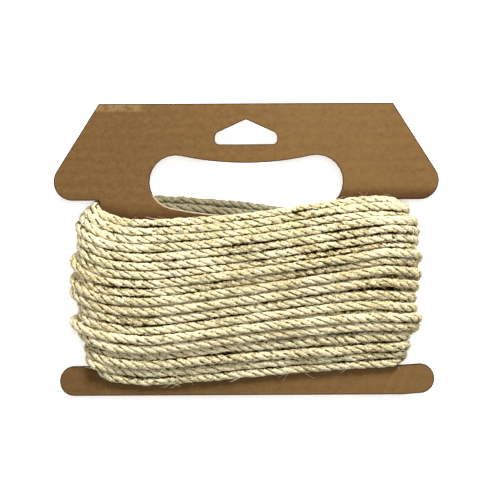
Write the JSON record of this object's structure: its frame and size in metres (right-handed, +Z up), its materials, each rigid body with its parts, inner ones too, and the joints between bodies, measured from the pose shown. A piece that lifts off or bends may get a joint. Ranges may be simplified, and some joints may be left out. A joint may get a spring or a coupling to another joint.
{
  "type": "sisal rope wound on a card winder",
  "caption": "Thin twisted natural-fibre rope wound side by side around a flat die-cut card with a curved hand hole and a hanging slot.",
  "frame": {"origin": "on the surface that the coil lies on, under the middle of the card's outline", "axes": "+X along the turns of rope, to the right in the picture; +Y towards the hand hole and the hanging slot; +Z up, out of the front of the card"},
  "size_m": [0.2116, 0.161, 0.031],
  "materials": {
    "kraft_card": "brown kraft board, matt, with short fibres",
    "sisal": "pale straw-coloured three-strand rope, matt and hairy"
  },
  "bodies": {
    "root": {"card": "kraft_card", "rope_winding": "sisal"}
  },
  "joints": []
}
